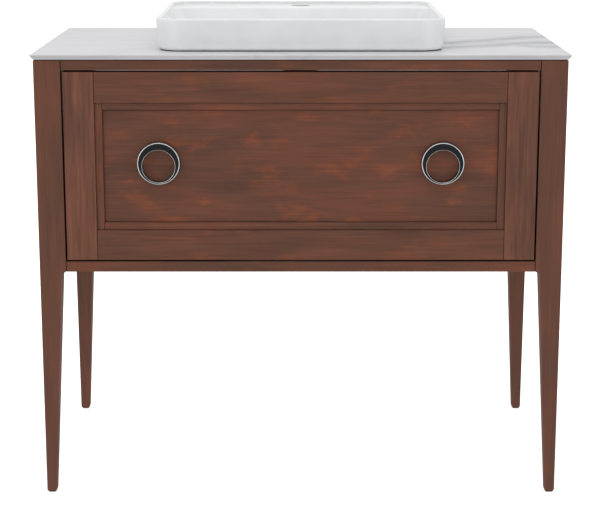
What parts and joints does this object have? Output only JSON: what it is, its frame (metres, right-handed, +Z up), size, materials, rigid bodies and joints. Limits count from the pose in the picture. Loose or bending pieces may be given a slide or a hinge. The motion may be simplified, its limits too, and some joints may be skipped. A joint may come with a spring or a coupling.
{
  "type": "vanity unit",
  "caption": "Freestanding wooden vanity unit on tapered legs, with a thin stone counter, a glazed basin with a tap ledge, and a framed drawer with ring pulls.",
  "frame": {"origin": "centre of the overall box, on the floor under the legs", "axes": "+X along the width to the right as seen from the front, -Y out of the drawer front, +Z up"},
  "size_m": [0.91, 0.465, 0.836],
  "materials": {
    "stained_wood": "satin",
    "pale_wood": "satin",
    "marble": "polished",
    "basin_glaze": "gloss",
    "rubber": "matte",
    "polished_metal": "polished",
    "plated_steel": "satin"
  },
  "bodies": {
    "case": {"basin": "basin_glaze", "basin_gasket": "rubber", "bracket_screws": "plated_steel", "case_floor": "pale_wood", "counter_brackets": "plated_steel", "countertop": "marble", "front_bottom_rail": "stained_wood", "front_top_rail": "stained_wood", "leg_front_left": "stained_wood", "leg_front_right": "stained_wood", "leg_rear_left": "stained_wood", "leg_rear_right": "stained_wood", "rear_bottom_rail": "stained_wood", "rear_top_rail": "stained_wood", "runner_batten_left": "pale_wood", "runner_batten_right": "pale_wood", "runner_case_left": "plated_steel", "runner_case_right": "plated_steel", "runner_case_screws": "plated_steel", "side_bottom_rail_left": "stained_wood", "side_bottom_rail_right": "stained_wood", "side_panel_left": "stained_wood", "side_panel_right": "stained_wood", "side_top_rail_left": "stained_wood", "side_top_rail_right": "stained_wood", "wall_fixing_rail": "pale_wood", "waste_body": "polished_metal", "waste_nut": "polished_metal", "waste_washer": "rubber"},
    "drawer": {"bead_bottom": "stained_wood", "bead_left": "stained_wood", "bead_right": "stained_wood", "bead_top": "stained_wood", "drawer_back_left": "pale_wood", "drawer_back_right": "pale_wood", "drawer_bottom": "pale_wood", "drawer_inner_front": "pale_wood", "drawer_panel": "stained_wood", "drawer_rail_bottom": "stained_wood", "drawer_rail_top": "stained_wood", "drawer_side_left": "pale_wood", "drawer_side_right": "pale_wood", "drawer_stile_left": "stained_wood", "drawer_stile_right": "stained_wood", "front_fixing_screws": "plated_steel", "notch_front": "pale_wood", "notch_side_left": "pale_wood", "notch_side_right": "pale_wood", "pull_screws": "plated_steel", "ring_pull_left": "polished_metal", "ring_pull_right": "polished_metal", "runner_drawer_left": "plated_steel", "runner_drawer_right": "plated_steel", "runner_drawer_screws": "plated_steel"},
    "middle_left": {"runner_middle_left": "plated_steel"},
    "middle_right": {"runner_middle_right": "plated_steel"},
    "plug": {"waste_plug": "polished_metal"}
  },
  "joints": [
    {"name": "drawer_slide", "type": "slide", "parent": "case", "child": "drawer", "axis": [0, -1, 0], "range_m": [0, 0.33]},
    {"name": "middle_left_slide", "type": "slide", "parent": "case", "child": "middle_left", "axis": [0, -1, 0], "range_m": [0, 0.165]},
    {"name": "middle_right_slide", "type": "slide", "parent": "case", "child": "middle_right", "axis": [0, -1, 0], "range_m": [0, 0.165]},
    {"name": "plug_lift", "type": "slide", "parent": "case", "child": "plug", "axis": [0, 0, 1], "range_m": [0, 0.007]}
  ],
  "couplings": [
    {"joint": "middle_left_slide", "follows": "drawer_slide", "ratio": 0.5},
    {"joint": "middle_right_slide", "follows": "drawer_slide", "ratio": 0.5}
  ]
}
